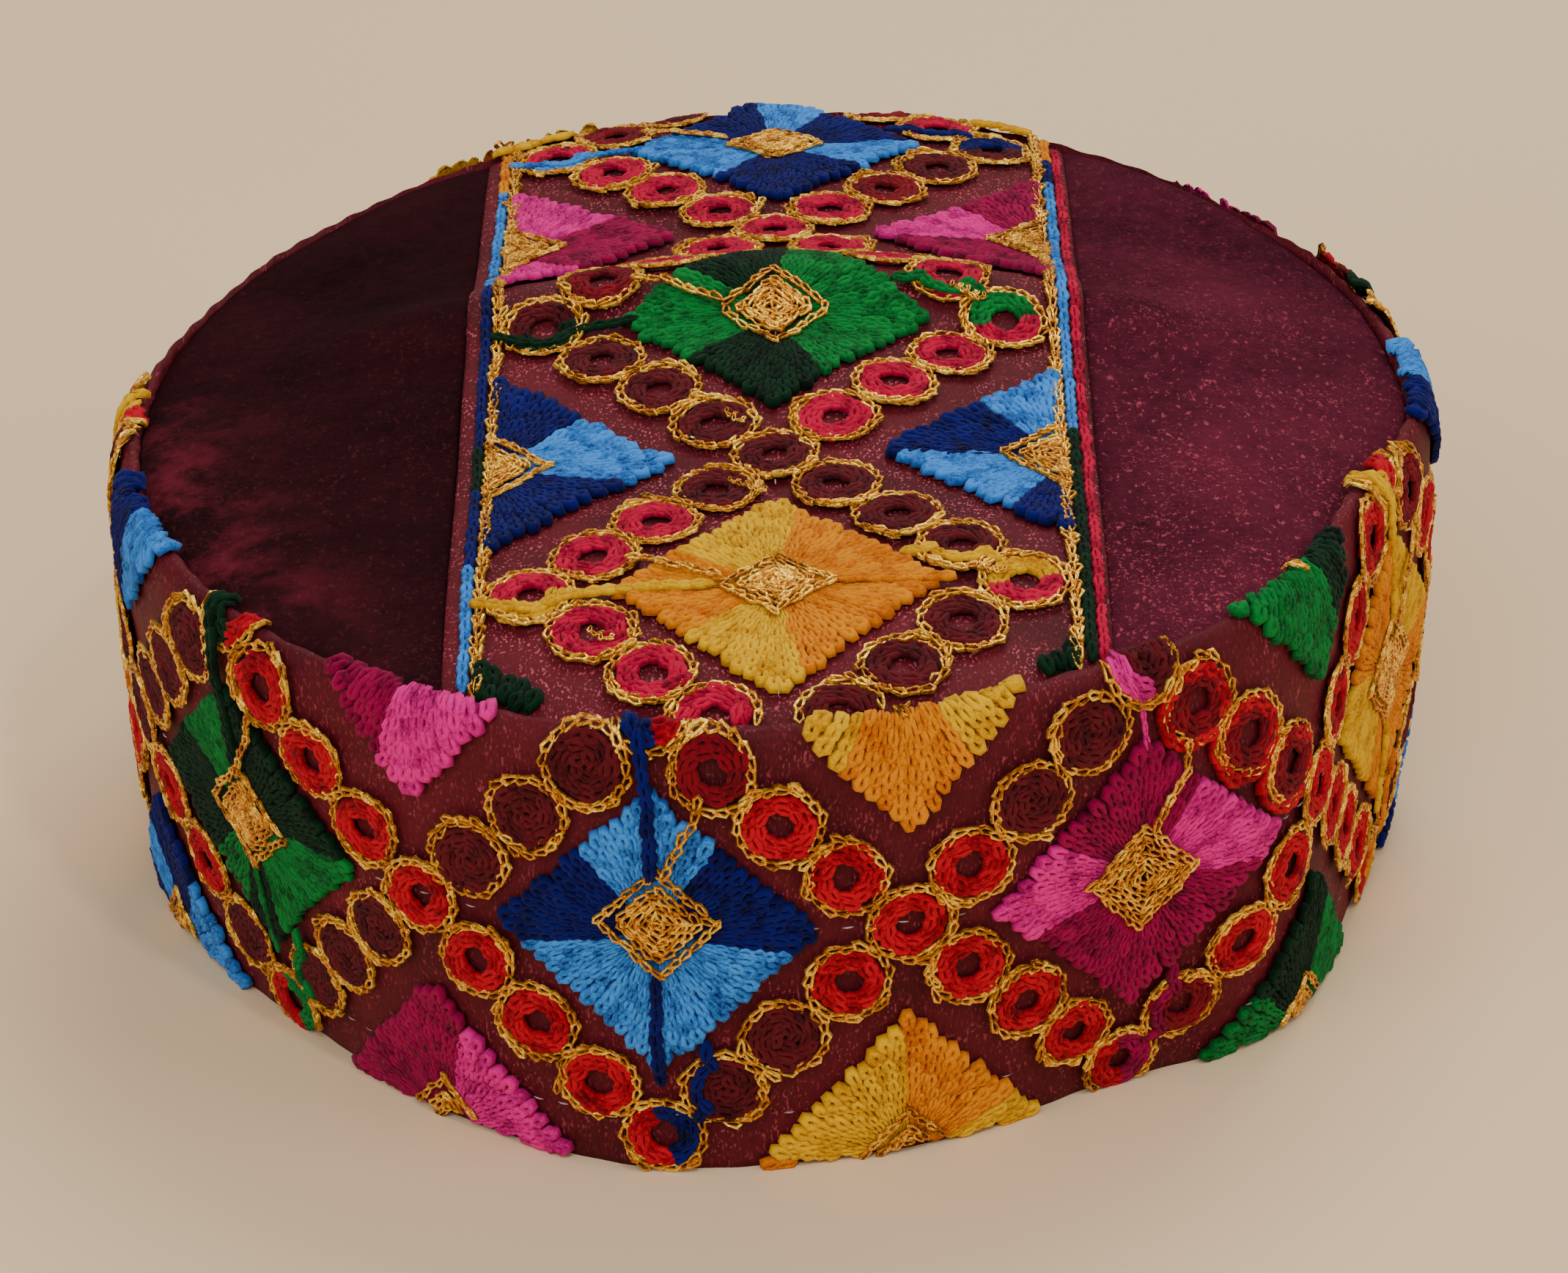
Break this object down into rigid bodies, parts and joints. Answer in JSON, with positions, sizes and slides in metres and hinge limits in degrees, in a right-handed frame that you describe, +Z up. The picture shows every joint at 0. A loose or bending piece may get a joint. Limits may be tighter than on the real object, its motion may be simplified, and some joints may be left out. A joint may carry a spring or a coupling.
{
  "type": "hunza cap",
  "caption": "Round flat-topped cloth cap with an embroidered upright band, an embroidered strip over the crown and plain velvet crown sides.",
  "frame": {"origin": "bottom centre of the whole cap, on the plane of the hem", "axes": "+Z up through the crown, -Y towards the front of the cap, +X to the right as seen from the front"},
  "size_m": [0.195, 0.1997, 0.0845],
  "materials": {
    "embroidered_ribbon": "satin",
    "velvet": "matte"
  },
  "bodies": {
    "root": {"side_band": "embroidered_ribbon", "crown_strip": "embroidered_ribbon", "crown_panel_left": "velvet", "crown_panel_right": "velvet"}
  },
  "joints": []
}
